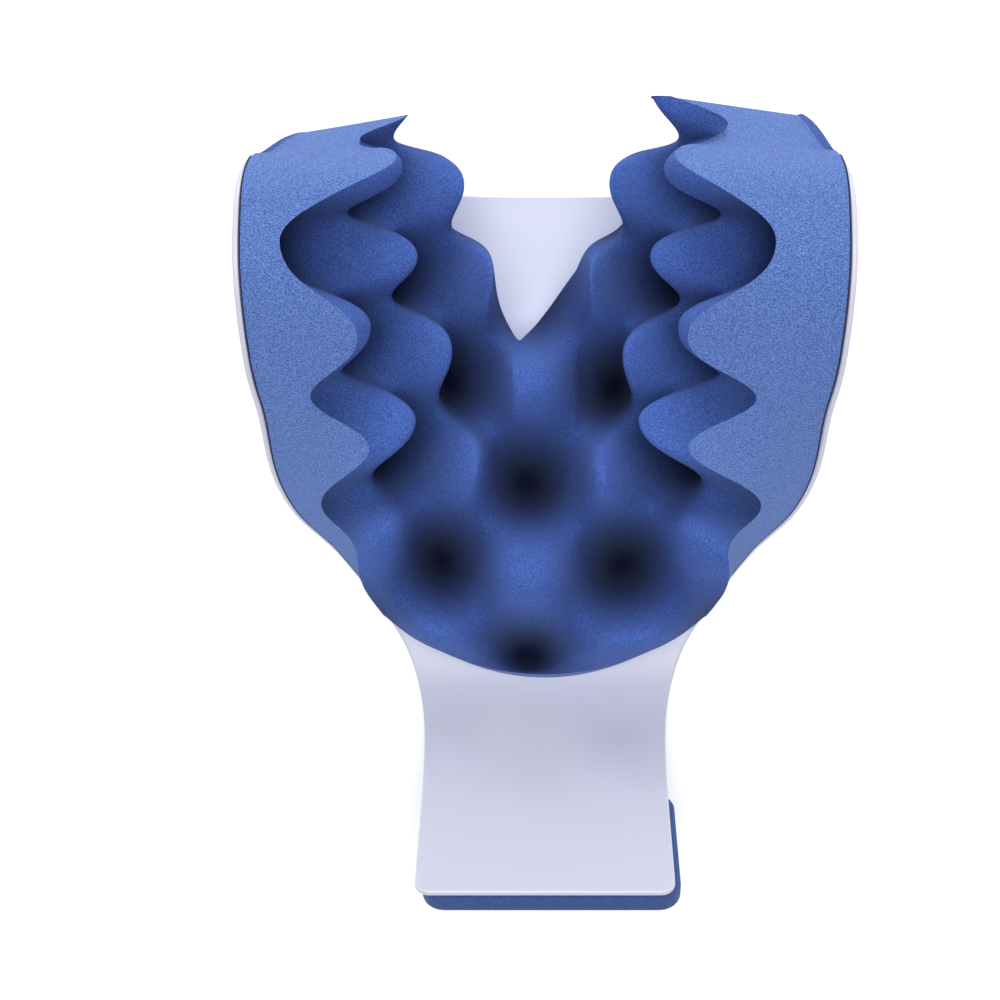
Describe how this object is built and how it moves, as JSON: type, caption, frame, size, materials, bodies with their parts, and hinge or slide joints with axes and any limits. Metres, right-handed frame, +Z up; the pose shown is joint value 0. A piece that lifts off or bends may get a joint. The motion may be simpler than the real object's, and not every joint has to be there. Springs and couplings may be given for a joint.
{
  "type": "cervical traction device",
  "caption": "Neck and head cradle: a springy plastic sheet curled into an open trough, lined with egg-crate foam, with a bent-up tongue and a thin pad.",
  "frame": {"origin": "middle of the underside of the bounding box, on the surface that the object lies on", "axes": "+Z up and out of the open trough, +Y along the trough from the tongue to its open end, +X across it"},
  "size_m": [0.1814, 0.2414, 0.0879],
  "materials": {
    "sheet": "semi-gloss white moulded sheet",
    "foam": "open-cell blue foam",
    "pad_foam": "fine-celled blue foam",
    "glue": "matt adhesive"
  },
  "bodies": {
    "cradle": {"cradle_shell": "sheet", "cradle_glue_film": "glue", "cradle_foam": "foam"},
    "tongue": {"neck_tongue": "sheet", "tongue_glue_film": "glue", "tongue_pad": "pad_foam"}
  },
  "joints": [
    {"name": "tongue_flex", "type": "hinge", "parent": "cradle", "child": "tongue", "pos_m": [0, -0.07457, 0.00939], "axis": [1, 0, 0], "range_deg": [0, 25], "stiffness_Nm_per_rad": 6}
  ]
}
